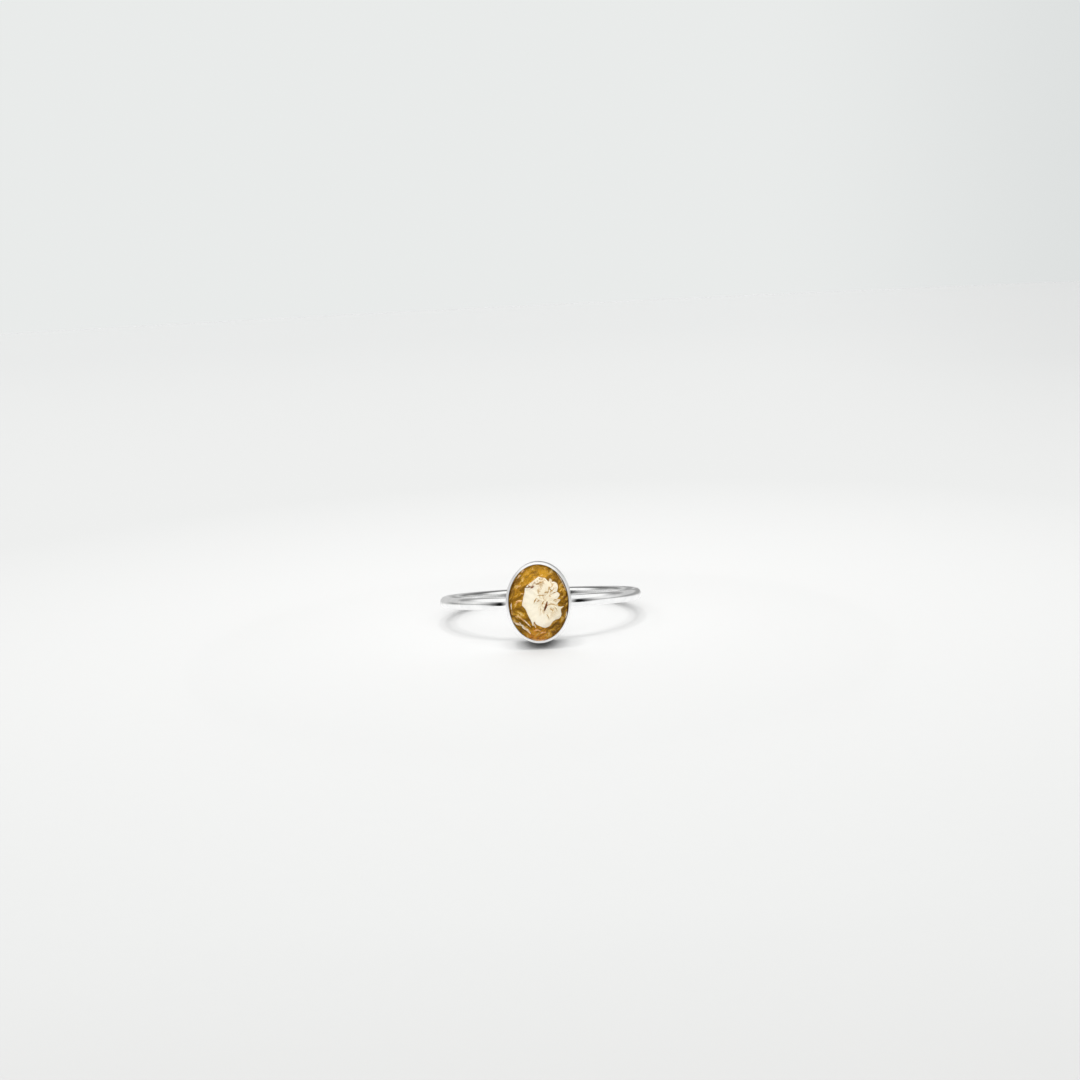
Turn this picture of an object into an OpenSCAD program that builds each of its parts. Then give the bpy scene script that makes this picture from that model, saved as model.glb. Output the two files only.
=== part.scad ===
// Ring with an oval citrine: a round wire band, soldered at both ends to an open-backed bezel
// with a bearing strip inside it, and an oval brilliant held under the bezel's burnished lip.
//
// The ring is drawn upright in its own frame, with the finger along Z and the stone facing -Y,
// and is then laid as it rests on a table: on the bezel's lower edge and on the back of the band.
// The origin is on the table, under the middle of the ring's box. Millimetres, +Z up.

/* [Finger] */
// Inner diameter of the band (17.3 is US size 7)
finger_d = 17.3; // [16.5:0.1:18.5]

/* [Band] */
// Diameter of the band's round wire
wire_d = 1.1; // [0.9:0.05:1.4]
// Depth of the narrow flat that the ring mandrel leaves along the inside of the wire
mandrel_flat = 0.04; // [0.02:0.01:0.08]

/* [Bezel] */
// Outer width of the bezel, round the finger
bezel_w = 5.85; // [5.4:0.05:6.6]
// Outer height of the bezel, along the finger
bezel_h = 7.25; // [6.8:0.05:8.2]
// How far the bezel's middle stands off the middle of the band, along the finger
bezel_rise = 0.13; // [0:0.01:0.3]
// Distance from the finger's axis to the top of the rim
rim_reach = 12.2; // [12:0.1:13]
// Thickness of the bezel strip
strip_t = 0.17; // [0.14:0.01:0.2]
// Thickness of the bearing strip that is soldered inside it
bearing_t = 0.26; // [0.2:0.01:0.34]

/* [Lip] */
// Height of the lip above the citrine's girdle
lip_h = 0.24; // [0.2:0.01:0.3]
// How far the lip's edge stands in from the bezel's outer face
lip_in = 0.27; // [0.25:0.01:0.32]
// Radius of the lip's outer rounding
lip_round = 0.18; // [0.1:0.01:0.22]
// Thickness of the lip's inner edge
lip_edge = 0.11; // [0.06:0.01:0.14]

/* [Solder] */
// Radius of each solder joint where it meets the bezel
joint_r = 0.7; // [0.6:0.02:0.8]
// How far each solder joint runs out along the wire
joint_run = 0.45; // [0.3:0.05:0.7]

/* [Citrine] */
// Gap between the citrine and the silver
seat_gap = 0.03; // [0.02:0.01:0.05]
// Thickness of the girdle
girdle_t = 0.18; // [0.14:0.01:0.24]
// Height of the crown above the girdle
crown_h = 0.62; // [0.5:0.02:0.7]
// Depth of the pavilion below the girdle
pavilion_h = 2.15; // [1.9:0.05:2.4]
// Width of the table as a share of the citrine's width
table_share = 0.62; // [0.56:0.01:0.64]
// How far the star facets reach from the table towards the girdle
star_share = 0.5; // [0.4:0.05:0.6]
// How far the lower girdle facets reach from the girdle towards the culet
lower_share = 0.72; // [0.6:0.02:0.8]
// How much of the pavilion's point is polished off as the culet
culet_cut = 0.05; // [0.03:0.01:0.1]

/* [Hidden] */
$fn = 144;

finger_r = finger_d / 2;
wire_r = wire_d / 2;
// Radius of the wire's centre line, so that the mandrel's flat lies on the finger's diameter
band_r = finger_r - mandrel_flat + wire_r;

// Half sizes of the bezel's outline, and how much longer than wide it is outside and inside
half_w = bezel_w / 2;
half_h = bezel_h / 2;
outer_stretch = half_h / half_w;
inner_stretch = (half_h - strip_t) / (half_w - strip_t);

// The citrine's half sizes at the girdle
stone_w = half_w - strip_t - seat_gap;
stone_h = half_h - strip_t - seat_gap;

// Levels along the stone's axis, measured from the finger's axis
girdle_top = rim_reach - lip_h;
girdle_low = girdle_top - girdle_t;
table_level = girdle_top + crown_h;
point_level = girdle_low - pavilion_h;
culet_level = point_level + culet_cut;

// The bearing's edge slopes as the pavilion does, just clear of it
pavilion_slope = pavilion_h / stone_w;
bearing_top = girdle_low - 2 * seat_gap;
bearing_low = bearing_top - bearing_t * pavilion_slope;
// The bezel is drawn down to this level, and the finger hole then files it to a saddle
bezel_foot = finger_r - 1;

// Where the wire's centre line runs into the bezel's side, as a turn round the finger
joint_turn = asin(half_w / band_r);
// How far the solder goes on from there, so that its slanting base lies inside the strip all round
joint_sink = strip_t / 2 + joint_r * tan(joint_turn);
// The solder tapers to a little less than the wire, so that it runs out on the wire's surface
joint_end_r = 0.9 * wire_r;

// The facet pattern has eight mains, with a girdle point halfway between them
mains = 8;
main_step = 360 / mains;
half_step = main_step / 2;

// Resting pose: the lowest edge of the bezel's foot and the back of the wire touch the table
foot_to_wire = [band_r + finger_r, half_h - bezel_rise];
rest_tilt = atan2(foot_to_wire[1], foot_to_wire[0]) - asin(wire_r / norm(foot_to_wire));
rest_lift = wire_r + band_r * sin(rest_tilt);

// How far the laid ring reaches back and forward, which centres it over the origin
back_reach = band_r * cos(rest_tilt) + wire_r;
table_front = table_level * cos(rest_tilt) + (table_share * stone_h - bezel_rise) * sin(rest_tilt);
lip_front = rim_reach * cos(rest_tilt) + (half_h - lip_in - bezel_rise) * sin(rest_tilt);
front_reach = max(table_front, lip_front);
rest_shift = (front_reach - back_reach) / 2;

// Lays the upright ring on the table
module laid() {
    translate([0, rest_shift, rest_lift]) rotate([-rest_tilt, 0, 0]) children();
}

// Turns something drawn along the stone's axis, +Z, to face -Y, where the bezel stands on the band
module facing_out() {
    translate([0, 0, bezel_rise]) rotate([90, 0, 0]) children();
}

// The round wire, bent into a full circle round the finger
module band_wire() {
    rotate_extrude() translate([band_r, 0]) circle(r = wire_r);
}

// Solder drawn up round the wire where it meets the bezel, on one side
module solder_joint(side) {
    rotate(side * joint_turn) translate([-side * joint_sink, -band_r, 0]) rotate([0, side * 90, 0])
        cylinder(r1 = joint_r, r2 = joint_end_r, h = joint_run + joint_sink);
}

// The bezel's outside: an oval tube whose top rounds over into the lip
module bezel_outside() {
    shoulder = rim_reach - lip_round;
    scale([1, outer_stretch, 1]) rotate_extrude() {
        translate([0, bezel_foot]) square([half_w, shoulder - bezel_foot]);
        translate([0, bezel_foot]) square([half_w - lip_round, rim_reach - bezel_foot]);
        translate([half_w - lip_round, shoulder]) circle(r = lip_round);
    }
}

// What is open inside the bezel: the back below the bearing, the citrine's seat, and the face
module bezel_inside() {
    over = 1;
    hollow_w = half_w - strip_t - bearing_t;
    scale([1, inner_stretch, 1]) rotate_extrude() polygon([
        [0, bezel_foot - over],
        [hollow_w, bezel_foot - over],
        [hollow_w, bearing_low],
        [half_w - strip_t, bearing_top],
        [half_w - strip_t, girdle_top],
        [half_w - lip_in, rim_reach - lip_edge],
        [half_w - lip_in, rim_reach + over],
        [0, rim_reach + over]
    ]);
}

// Silver, soldered into one: the wire ends at the bezel's sides, and the finger hole runs clear
module band_and_bezel() {
    color("silver") laid() difference() {
        union() {
            band_wire();
            solder_joint(1);
            solder_joint(-1);
            facing_out() bezel_outside();
        }
        facing_out() bezel_inside();
        translate([0, 0, -bezel_h]) cylinder(r = finger_r, h = 2 * bezel_h);
    }
}

// A point of the citrine: turn round its axis, reach as a share of the girdle's, and level
function stone_point(turn, reach, level) =
    [stone_w * reach * cos(turn), stone_h * reach * sin(turn), level];

// Where two neighbouring mains meet, at some reach between them
function crown_between(turn, reach) = stone_point(
    turn, reach, girdle_top + crown_h * (1 - reach * cos(half_step)) / (1 - table_share));
function pavilion_between(turn, reach) = stone_point(
    turn, reach, girdle_low - pavilion_h * (1 - reach * cos(half_step)));

// All that lies inside the plane through three points of the citrine
module inside_facet(p, q, r) {
    block = 3 * bezel_h;
    across = cross(q - p, r - p);
    outward = across * sign(across * (p - [0, 0, girdle_low])) / norm(across);
    translate(p) rotate([0, acos(outward[2]), atan2(outward[1], outward[0])])
        translate([-block / 2, -block / 2, -block]) cube(block);
}

// Inside a main facet, which touches the girdle at one turn and has one more point on that turn
module inside_main(turn, reach, level, girdle_level) {
    spread = half_step / 2;
    touch = 1 / cos(spread);
    inside_facet(
        stone_point(turn, reach, level),
        stone_point(turn - spread, touch, girdle_level),
        stone_point(turn + spread, touch, girdle_level)
    );
}

// Inside the two girdle facets that share a point between neighbouring mains
module inside_halves(turn, peak, girdle_level) {
    middle = stone_point(turn, 1, girdle_level);
    intersection_for (side = [-1, 1])
        inside_facet(peak, stone_point(turn + side * half_step, 1, girdle_level), middle);
}

// The oval brilliant, drawn with its table up
module cut_stone() {
    table_edge = table_share * cos(half_step);
    star_reach = table_edge + star_share * (1 - table_edge);
    intersection() {
        translate([0, 0, culet_level]) scale([stone_w, stone_h, 1])
            cylinder(r = 1, h = table_level - culet_level);
        intersection_for (k = [0 : mains - 1]) {
            turn = k * main_step;
            star = crown_between(turn + half_step, star_reach);
            lower = pavilion_between(turn + half_step, 1 - lower_share);
            intersection() {
                inside_main(turn, table_share, table_level, girdle_top);
                inside_main(turn, 0, point_level, girdle_low);
                inside_facet(
                    stone_point(turn, table_share, table_level),
                    stone_point(turn + main_step, table_share, table_level),
                    star
                );
                inside_halves(turn + half_step, star, girdle_top);
                inside_halves(turn + half_step, lower, girdle_low);
            }
        }
    }
}

// Citrine in its bezel
module citrine() {
    color("goldenrod") laid() facing_out() cut_stone();
}

band_and_bezel();
citrine();
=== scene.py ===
from math import asin, atan, atan2, cos, hypot, pi, radians, sin, sqrt, tan, tau

import bmesh
import bpy
from mathutils import Matrix, Vector, noise
from mathutils.geometry import delaunay_2d_cdt


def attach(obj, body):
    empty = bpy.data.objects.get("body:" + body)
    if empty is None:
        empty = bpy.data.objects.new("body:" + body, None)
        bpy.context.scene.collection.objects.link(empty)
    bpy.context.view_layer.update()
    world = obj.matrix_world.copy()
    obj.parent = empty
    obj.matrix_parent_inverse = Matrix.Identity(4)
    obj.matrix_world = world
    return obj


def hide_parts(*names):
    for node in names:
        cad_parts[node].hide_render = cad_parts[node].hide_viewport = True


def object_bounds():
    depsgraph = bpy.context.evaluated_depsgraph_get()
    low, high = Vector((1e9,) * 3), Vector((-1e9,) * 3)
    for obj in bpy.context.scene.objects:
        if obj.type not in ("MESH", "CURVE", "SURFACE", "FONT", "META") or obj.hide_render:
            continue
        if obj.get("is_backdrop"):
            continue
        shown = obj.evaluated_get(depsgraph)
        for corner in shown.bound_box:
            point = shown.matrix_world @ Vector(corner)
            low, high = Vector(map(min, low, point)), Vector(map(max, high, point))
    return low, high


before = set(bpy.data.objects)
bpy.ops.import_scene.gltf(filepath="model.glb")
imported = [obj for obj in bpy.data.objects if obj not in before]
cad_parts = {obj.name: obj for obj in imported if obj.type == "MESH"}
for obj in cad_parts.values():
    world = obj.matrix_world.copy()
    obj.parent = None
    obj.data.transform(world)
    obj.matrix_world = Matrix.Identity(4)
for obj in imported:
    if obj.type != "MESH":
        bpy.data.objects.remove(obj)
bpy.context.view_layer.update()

# Sizes in millimetres, as in the part's source. A mesh is drawn in the ring's own frame, with
# the finger along Z and the stone facing -Y, and LAID then sets it down as it rests.
MM = 0.001
FINGER_R = 8.65
WIRE_R = 0.55
BAND_R = 9.16
HALF_W, HALF_H = 2.925, 3.625
BEZEL_RISE = 0.13
STRIP_T, BEARING_T = 0.17, 0.26
JOINT_R, JOINT_RUN = 0.7, 0.45
STONE_W, STONE_H = 2.725, 3.425
GIRDLE_TOP, GIRDLE_LOW = 11.96, 11.78
TABLE_LEVEL, POINT_LEVEL, CULET_LEVEL = 12.58, 9.63, 9.68
BEARING_TOP, BEARING_LOW = 11.72, 11.515
TABLE_SHARE, STAR_SHARE, LOWER_SHARE = 0.62, 0.5, 0.72
REST_TILT = radians(9.365999)
REST_LIFT, REST_SHIFT = 2.040703, 1.574415

# The lip is rubbed over until its edge rests on the stone, and leaves this much of the face open
LIP_W, LIP_H = 2.645, 3.39
LEAN_LEVEL, LIP_CREST, LIP_LOW = 11.74, 12.15, 12.035

LAID = (
    Matrix.Scale(MM, 4)
    @ Matrix.Translation((0, REST_SHIFT, REST_LIFT))
    @ Matrix.Rotation(-REST_TILT, 4, "X")
)
# The bezel and what lies in it are drawn along +Z, and IN_BEZEL sets them down facing -Y
IN_BEZEL = LAID @ (Matrix.Translation((0, 0, BEZEL_RISE)) @ Matrix.Rotation(radians(90), 4, "X"))


def put_in_scene(thing):
    """Puts an object among those of the scene."""
    bpy.context.scene.collection.objects.link(thing)


def hide_from(thing, *rays):
    """Hides an object from these kinds of rays."""
    for ray in rays:
        setattr(thing, "visible_" + ray, False)


def place_camera():
    """Sets the camera where the photograph was taken from, with the ring a little below its middle."""
    distance, turn, height = 150.0, radians(1.053), radians(12.15)
    roll = radians(2.832)
    photo_side, focal = 1080, 1552.1
    ring_x, ring_y = 540.72, 597.45
    middle = Vector((0, REST_SHIFT, REST_LIFT))
    back = Vector((sin(turn) * cos(height), -cos(turn) * cos(height), sin(height)))
    right = (-back).cross(Vector((0, 0, 1))).normalized()
    up = right.cross(-back)
    right, up = cos(roll) * right - sin(roll) * up, sin(roll) * right + cos(roll) * up
    pitch = atan((ring_y - photo_side / 2) / focal)
    yaw = atan((ring_x - photo_side / 2) / focal)
    ahead = -cos(pitch) * back + sin(pitch) * up
    up = sin(pitch) * back + cos(pitch) * up
    ahead, right = cos(yaw) * ahead - sin(yaw) * right, cos(yaw) * right + sin(yaw) * ahead
    data = bpy.data.cameras.new("photo_camera")
    data.sensor_width = 36
    data.lens = 36 * focal / photo_side
    data.clip_start, data.clip_end = 0.01, 6
    camera = bpy.data.objects.new("photo_camera", data)
    facing = Matrix((right, up, -ahead)).transposed().to_4x4()
    camera.matrix_world = Matrix.Translation((middle + distance * back) * MM) @ facing
    put_in_scene(camera)
    bpy.context.scene.camera = camera


def add_node(tree, kind, inputs=None, **settings):
    """Adds a node, sets its options, fills or links the inputs that are named, and returns its outputs."""
    made = tree.nodes.new(kind)
    for name, value in settings.items():
        setattr(made, name, value)
    for key, value in (inputs or {}).items():
        if isinstance(value, bpy.types.NodeSocket):
            tree.links.new(value, made.inputs[key])
        else:
            made.inputs[key].default_value = value
    return made.outputs


def maths(tree, operation, first, second=0.0):
    """One Math node, by its result."""
    return add_node(tree, "ShaderNodeMath", {0: first, 1: second}, operation=operation)[0]


def times(tree, first, second):
    """The product of two numbers."""
    return maths(tree, "MULTIPLY", first, second)


def less(tree, first, second):
    """first less second."""
    return maths(tree, "SUBTRACT", first, second)


def more(tree, first, second):
    """The sum of two numbers."""
    return maths(tree, "ADD", first, second)


def vectors(tree, operation, first, second=(0, 0, 0)):
    """One Vector Math node, by its result."""
    other = "Scale" if operation == "SCALE" else 1
    made = add_node(tree, "ShaderNodeVectorMath", {0: first, other: second}, operation=operation)
    return made["Value" if operation in ("LENGTH", "DOT_PRODUCT") else "Vector"]


def parts_of(tree, vector):
    """The three numbers of a vector."""
    return add_node(tree, "ShaderNodeSeparateXYZ", {0: vector})


def vector_of(tree, x, y, z):
    """A vector of three numbers."""
    return add_node(tree, "ShaderNodeCombineXYZ", {0: x, 1: y, 2: z})[0]


def mapped(tree, place, turn, scale, kind="POINT"):
    """A place, turned and scaled."""
    values = {"Vector": place, "Rotation": turn, "Scale": scale}
    return add_node(tree, "ShaderNodeMapping", values, vector_type=kind)[0]


def own_place(tree):
    """Place on the object, in metres."""
    return add_node(tree, "ShaderNodeTexCoord")["Object"]


def grained(tree, place, scale, detail, roughness=0.5):
    """A noise, by its value."""
    values = {"Vector": place, "Scale": scale, "Detail": detail, "Roughness": roughness}
    return add_node(tree, "ShaderNodeTexNoise", values)[0]


def wandering(tree, place, scale):
    """An unevenness of up to half a unit each way."""
    values = {"Vector": place, "Scale": scale, "Detail": 3.0}
    blur = add_node(tree, "ShaderNodeTexNoise", values)["Color"]
    return vectors(tree, "SUBTRACT", blur, (0.5, 0.5, 0.5))


def bumped(tree, height, strength, distance):
    """A normal that follows a height."""
    values = {"Height": height, "Strength": strength, "Distance": distance}
    return add_node(tree, "ShaderNodeBump", values)["Normal"]


def surfaced(tree, colour, rough, bump, **others):
    """A Principled surface; in the names of its other inputs an underscore stands for a space."""
    values = {"Base Color": colour, "Roughness": rough, "Normal": bump}
    values.update({name.replace("_", " "): value for name, value in others.items()})
    return add_node(tree, "ShaderNodeBsdfPrincipled", values)[0]


def ramped(tree, value, low, high, to_low=0.0, to_high=1.0, ease="SMOOTHSTEP"):
    """value, carried smoothly from low..high to to_low..to_high."""
    values = {"Value": value, "From Min": low, "From Max": high, "To Min": to_low, "To Max": to_high}
    return add_node(tree, "ShaderNodeMapRange", values, interpolation_type=ease)["Result"]


def blended(tree, share, first, second):
    """A colour between first and second."""
    return add_node(tree, "ShaderNodeMix", {0: share, 6: first, 7: second}, data_type="RGBA")[2]


def painted(tree, colour, *coats):
    """A colour with others laid over it one by one, each given as (share, colour)."""
    for share, coat in coats:
        colour = blended(tree, share, colour, coat)
    return colour


def mixed(tree, share, first, second):
    """A number between first and second."""
    return add_node(tree, "ShaderNodeMix", {0: share, 2: first, 3: second}, data_type="FLOAT")[0]


def stepped(tree, value, stops):
    """value, carried along straight lines between these stops (place, number)."""
    ramp = tree.nodes.new("ShaderNodeValToRGB")
    tree.links.new(value, ramp.inputs[0])
    while len(ramp.color_ramp.elements) < len(stops):
        ramp.color_ramp.elements.new(1.0)
    for element, (at, number) in zip(ramp.color_ramp.elements, stops):
        element.position = at
        element.color = (number, number, number, 1)
    return ramp.outputs[0]


def new_material(name):
    """An empty material, with its nodes and the inputs of its output."""
    material = bpy.data.materials.new(name)
    material.use_nodes = True
    tree = material.node_tree
    tree.nodes.clear()
    return material, tree, tree.nodes.new("ShaderNodeOutputMaterial").inputs


def new_group(name, family, inputs, outputs):
    """A node group with named inputs and outputs."""
    tree = bpy.data.node_groups.new(name, family)
    for label, kind, *value in inputs:
        socket = tree.interface.new_socket(label, in_out="INPUT", socket_type=kind)
        if value:
            socket.default_value = value[0]
    for label, kind in outputs:
        tree.interface.new_socket(label, in_out="OUTPUT", socket_type=kind)
    return tree, tree.nodes.new("NodeGroupInput").outputs, tree.nodes.new("NodeGroupOutput").inputs


NUMBER, COLOUR, COUNT = "NodeSocketFloat", "NodeSocketColor", "NodeSocketInt"
SHAPE, MATERIAL = "NodeSocketGeometry", "NodeSocketMaterial"


def lay_floor():
    """A pale matt board, with painted shade that darkens it away from the ring, as the photograph shows it.
    """
    sides = 96
    material, tree, output = new_material("pale_board")
    place = own_place(tree)
    shifted = vectors(tree, "ADD", place, (0, -0.012, 0))
    away = vectors(tree, "LENGTH", shifted)
    front = parts_of(tree, place)[1]
    near, middle, far = (0.522, 0.523, 0.519, 1), (0.462, 0.466, 0.462, 1), (0.441, 0.447, 0.444, 1)
    grain = grained(tree, place, 900.0, 4.0)
    # Painted shade: the board darkens away from the ring and towards its front edge, as the light falls off
    shade = painted(
        tree,
        near,
        (ramped(tree, away, 0.016, 0.085, ease="LINEAR"), middle),
        (ramped(tree, away, 0.08, 0.7), far),
        (ramped(tree, front, -0.066, -0.095, 0.0, 0.35), (0.38, 0.375, 0.37, 1)),
    )
    # Towards its far right the board darkens as the wall behind it does: painted shade
    sight = vectors(tree, "ADD", place, (-0.0027, 0.145, -0.0336))
    across = parts_of(tree, vectors(tree, "NORMALIZE", sight))[0]
    dusk = ramped(tree, away, 0.35, 1.2, 0.0, 0.25, "LINEAR")
    dusk = more(tree, dusk, ramped(tree, away, 0.05, 0.35, 0.0, 0.75, "LINEAR"))
    dusk = times(tree, dusk, ramped(tree, across, 0.12, 0.36))
    shade = painted(
        tree,
        shade,
        (dusk, (0.395, 0.400, 0.398, 1)),
        (ramped(tree, grain, 0.3, 0.7, 0.0, 0.02), (0.4, 0.4, 0.4, 1)),
    )
    bump = bumped(tree, grain, 0.04, 0.00002)
    board = surfaced(tree, shade, 0.75, bump, Specular_IOR_Level=0.2)
    # Painted reflection: for glossy rays the board glows, so that in the silver it looks brighter, as it does
    # in the photograph
    glow = add_node(tree, "ShaderNodeEmission", {"Color": (1, 1, 1, 1), "Strength": 1.0})
    mirrored = times(tree, add_node(tree, "ShaderNodeLightPath")["Is Glossy Ray"], 0.64)
    seen = add_node(tree, "ShaderNodeMixShader", {0: mirrored, 1: board, 2: glow[0]})
    tree.links.new(seen[0], output[0])
    # The polished silver mirrors only the part of the board close round the ring
    near_edge, near_middle = 0.0148, 0.0016
    for name, rings in (
        ("board_under_ring", (0, 0.004, 0.008, near_edge)),
        ("board", (near_edge, 0.02, 0.04, 0.08, 0.16, 0.32, 0.64, 1.2)),
    ):
        mesh = bmesh.new()
        last = None
        for radius in rings:
            turns = [k * tau / sides for k in range(sides if radius else 1)]
            loop = [mesh.verts.new((near_middle + radius * cos(t), radius * sin(t), 0)) for t in turns]
            if last is not None:
                for k, after in neighbours(sides):
                    inner = (last[k], last[after]) if len(last) > 1 else (last[0],)
                    mesh.faces.new((*inner[:1], loop[k], loop[after], *inner[1:]))
            last = loop
        board_part = finish_mesh(name, mesh, material)
        board_part.visible_glossy = name == "board_under_ring"
        board_part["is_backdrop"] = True


def light_studio():
    """Two lamps overhead, weaker ones to the left and behind, and a pale room that fills the shadows."""
    for name, towards, strength, width in (
        ("lamp_overhead_left", (-0.19, -0.055, 1.0), 0.68, 11),
        ("lamp_overhead_right", (0.13, -0.055, 1.0), 0.57, 11),
        ("lamp_left", (-0.9, 0.0, 1.0), 0.2, 26),
        ("lamp_behind", (-0.03, 0.42, 1.0), 0.15, 18),
    ):
        lamp = bpy.data.lights.new(name, "SUN")
        lamp.energy = strength
        lamp.angle = radians(width)
        holder = bpy.data.objects.new(name, lamp)
        holder.rotation_mode = "QUATERNION"
        holder.rotation_quaternion = Vector(towards).to_track_quat("Z", "Y")
        hide_from(holder, "glossy", "transmission")
        put_in_scene(holder)

    world = bpy.data.worlds.new("pale_room")
    bpy.context.scene.world = world
    world.use_nodes = True
    tree = world.node_tree
    tree.nodes.clear()
    way = add_node(tree, "ShaderNodeTexCoord")["Generated"]
    across, back, height = parts_of(tree, way)
    rays = add_node(tree, "ShaderNodeLightPath")
    fill = ramped(tree, back, 0.1, -0.8, 1.42, 2.13)
    fill = times(tree, fill, ramped(tree, height, 0.15, 0.7, 0.25, 1.0))
    window = blended(tree, ramped(tree, back, 0.4, -0.6), (1.45, 1.45, 1.45, 1), (2.14, 2.14, 2.14, 1))
    # The wall the camera sees behind the ring, with painted shade that darkens it towards the right
    wall_tints = (0.815, 0.832, 0.824, 1), (0.724, 0.745, 0.74, 1)
    backdrop = blended(tree, ramped(tree, across, 0.12, 0.36), *wall_tints)
    seen = blended(tree, rays["Is Transmission Ray"], fill, window)
    seen = blended(tree, rays["Is Camera Ray"], seen, backdrop)
    glow = add_node(tree, "ShaderNodeBackground", {"Color": seen, "Strength": 1.0})
    tree.links.new(glow[0], tree.nodes.new("ShaderNodeOutputWorld").inputs[0])
    bpy.context.scene.view_settings.view_transform = "Standard"


def hang_room():
    """The small tent round the ring that the polished silver mirrors: white, open and dark in front."""
    radius = 0.032
    heart = Vector((0, -0.0076, 0.0035))
    material, tree, output = new_material("tent_cloth")
    way = vectors(tree, "NORMALIZE", vectors(tree, "SUBTRACT", own_place(tree), heart))
    across, back, height = parts_of(tree, way)
    level = vectors(tree, "LENGTH", vectors(tree, "MULTIPLY", way, (1, 1, 0)))
    backness = maths(tree, "DIVIDE", back, maths(tree, "MAXIMUM", level, 0.001))
    # Round the walls, from the dark opening in front over the sides to the back
    wall = stepped(tree, ramped(tree, backness, -1.0, 1.0, ease="LINEAR"), (
        (0.20, 0.010), (0.25, 0.22), (0.31, 0.50), (0.40, 0.78),
        (0.50, 0.88), (0.60, 0.78), (0.70, 0.62), (1.0, 0.62),
    ))
    # Up the walls: bright near the floor, a dim line at the horizon, a dim band under the ceiling at the back
    low = times(tree, ramped(tree, height, -0.07, -0.24), ramped(tree, backness, -0.62, -0.1))
    dip = times(tree, ramped(tree, height, -0.14, -0.04), ramped(tree, height, 0.13, 0.04))
    leftover = times(tree, ramped(tree, backness, 0.45, 0.7), ramped(tree, across, 0.0, -0.4))
    dip = times(tree, dip, less(tree, 1.0, leftover))
    band = times(tree, ramped(tree, height, 0.30, 0.40), ramped(tree, backness, 0.35, 0.6))
    gap = times(tree, ramped(tree, height, 0.12, 0.24), ramped(tree, backness, 0.88, 0.98))
    above = ramped(tree, height, 0.46, 0.66)
    wall = mixed(tree, low, wall, 1.0)
    for share, depth in ((dip, 0.42), (band, 0.45), (gap, 0.6)):
        wall = times(tree, wall, less(tree, 1.0, times(tree, share, depth)))
    lit = mixed(tree, above, wall, 1.02)
    glow = add_node(tree, "ShaderNodeEmission", {"Color": (1.0, 1.0, 0.995, 1), "Strength": lit})
    tree.links.new(glow[0], output[0])
    mesh = bmesh.new()
    place = Matrix.Translation(heart)
    bmesh.ops.create_uvsphere(mesh, u_segments=48, v_segments=24, radius=radius, matrix=place)
    tent = finish_mesh("mirrored_tent", mesh, material)
    hide_from(tent, "camera", "diffuse", "transmission", "volume_scatter", "shadow")
    tent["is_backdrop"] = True


def throw_light(name, piece, low, high, strength):
    """A skin close round a silver piece that only the board sees: the room's light, thrown back on it."""
    material, tree, output = new_material(name)
    height = parts_of(tree, own_place(tree))[2]
    # Close above the board, below low, the silver only mirrors its own shadow
    glow = add_node(tree, "ShaderNodeEmission", {"Strength": ramped(tree, height, low, high, 0.0, strength)})
    tree.links.new(glow[0], output[0])
    mesh = bmesh.new()
    mesh.from_mesh(piece.data)
    off = 0.012 * MM
    for vert in mesh.verts:
        vert.co += off * vert.normal
    skin = finish_mesh(name, mesh, material)
    hide_from(skin, "camera", "glossy", "transmission", "volume_scatter", "shadow")
    skin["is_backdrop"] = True


def finish_mesh(name, mesh, material, smooth=False, place=None, recalculate=False):
    """Turns a bmesh into an object of this material at the origin, with its place in its mesh."""
    if place is not None:
        bmesh.ops.transform(mesh, matrix=place, verts=mesh.verts)
    if recalculate:
        bmesh.ops.recalc_face_normals(mesh, faces=mesh.faces)
    data = bpy.data.meshes.new(name)
    mesh.to_mesh(data)
    mesh.free()
    data.polygons.foreach_set("use_smooth", [smooth] * len(data.polygons))
    data.materials.append(material)
    made = bpy.data.objects.new(name, data)
    put_in_scene(made)
    return made


def neighbours(count):
    """Each place in a closed loop, with the next one."""
    return [(k, (k + 1) % count) for k in range(count)]


def ripple(turn, seed, detail=4.0):
    """A smooth unevenness from -1 to 1 that closes on itself round a turn."""
    return noise.noise(Vector((detail * cos(turn), detail * sin(turn), seed)))


def polish_group():
    """Hand polish: faint directionless scratches, uneven gloss and brighter worn edges."""
    tree, given, result = new_group(
        "hand_polish",
        "ShaderNodeTree",
        [
            ("Silver", COLOUR, (0.975, 0.975, 0.97, 1)),
            ("Dull Silver", COLOUR, (0.90, 0.905, 0.905, 1)),
            ("Gloss", NUMBER, 0.035),
            ("Dullness", NUMBER, 0.09),
            ("Patch Scale", NUMBER, 900.0),
            ("Scratch Scale", NUMBER, 5200.0),
            ("Scratch Depth", NUMBER, 0.5),
            ("Wear", NUMBER, 1.0),
        ],
        [("Colour", COLOUR), ("Roughness", NUMBER), ("Height", NUMBER)],
    )
    place = own_place(tree)
    patches = ramped(tree, grained(tree, place, given["Patch Scale"], 3.0), 0.35, 0.7)
    stretched = mapped(tree, place, (0.5, 0.3, 0.9), (1.0, 0.06, 1.0))
    scratches = grained(tree, stretched, given["Scratch Scale"], 5.0, 0.65)
    scratches = ramped(tree, scratches, 0.56, 0.72)
    worn = add_node(tree, "ShaderNodeNewGeometry")["Pointiness"]
    worn = times(tree, ramped(tree, worn, 0.52, 0.6), given["Wear"])
    dulled = times(tree, maths(tree, "MAXIMUM", patches, scratches), less(tree, 1.0, worn))
    tree.links.new(blended(tree, dulled, given["Silver"], given["Dull Silver"]), result["Colour"])
    rough = more(tree, given["Gloss"], times(tree, dulled, less(tree, given["Dullness"], given["Gloss"])))
    tree.links.new(rough, result["Roughness"])
    depth = more(tree, times(tree, scratches, -1.0), times(tree, patches, 0.4))
    depth = times(tree, depth, given["Scratch Depth"])
    tree.links.new(depth, result["Height"])
    return tree


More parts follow.
